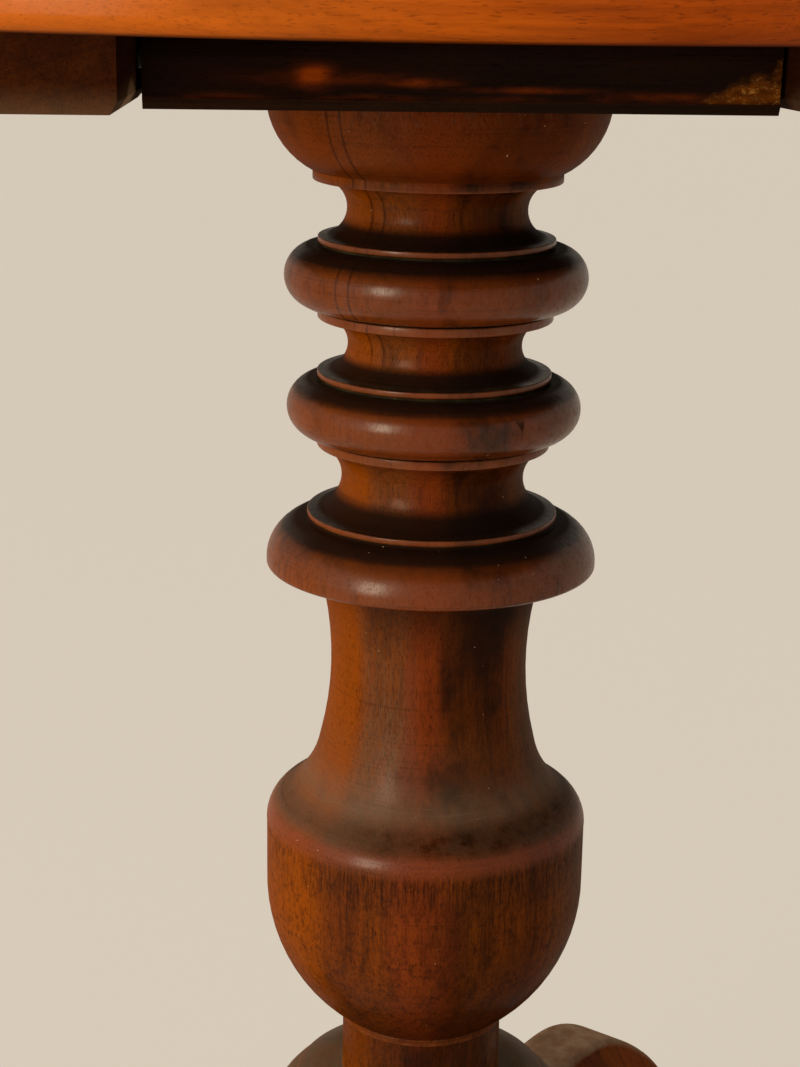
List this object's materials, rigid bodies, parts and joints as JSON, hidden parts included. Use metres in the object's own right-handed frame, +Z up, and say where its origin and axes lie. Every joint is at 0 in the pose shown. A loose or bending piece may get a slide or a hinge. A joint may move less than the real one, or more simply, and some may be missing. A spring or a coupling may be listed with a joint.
{
  "type": "tilt-top wine table",
  "caption": "Tilt-top wine table: round top on bearers, hinged to a block on a ring-turned column with swept tripod legs and held level by a spring catch.",
  "frame": {"origin": "on the floor, under the column's axis", "axes": "+Z up; the bearers run along Y, the top hinges on the block's -Y side and is caught on its +Y side"},
  "size_m": [0.51, 0.51, 0.7],
  "materials": {
    "top_wood": "waxed orange-brown mahogany",
    "column_wood": "dark stained, worn and waxed",
    "block_wood": "dark stain, worn bare at corners",
    "leg_wood": "dark stained, worn and waxed",
    "wedge_wood": "bare hardwood",
    "iron": "blackened wrought iron",
    "steel": "dulled steel",
    "brass": "aged brass"
  },
  "bodies": {
    "base": {"column": "column_wood", "tenon_wedge": "wedge_wood", "pivot_block": "block_wood", "pivot_pin_left": "steel", "pivot_pin_right": "steel", "leg_rear_right": "leg_wood", "leg_left": "leg_wood", "leg_front_right": "leg_wood", "tripod_plate": "iron", "tripod_plate_screws": "iron", "catch_keeper": "brass", "keeper_screws": "brass"},
    "top": {"top_board_front": "top_wood", "top_board_middle": "top_wood", "top_board_rear": "top_wood", "bearer_left": "block_wood", "bearer_right": "block_wood", "bearer_screws": "iron", "catch_plate": "brass", "catch_case": "brass", "catch_screws": "brass", "catch_spring": "steel"},
    "bolt": {"catch_bolt": "brass", "catch_knob": "brass"}
  },
  "joints": [
    {"name": "top_tilt", "type": "hinge", "parent": "base", "child": "top", "pos_m": [0, -0.0734, 0.67], "axis": [1, 0, 0], "range_deg": [0, 90]},
    {"name": "catch_slide", "type": "slide", "parent": "top", "child": "bolt", "axis": [0, 1, 0], "range_m": [0, 0.006], "stiffness_N_per_m": 300, "springref_m": -0.005, "deforming": ["catch_spring"]}
  ]
}
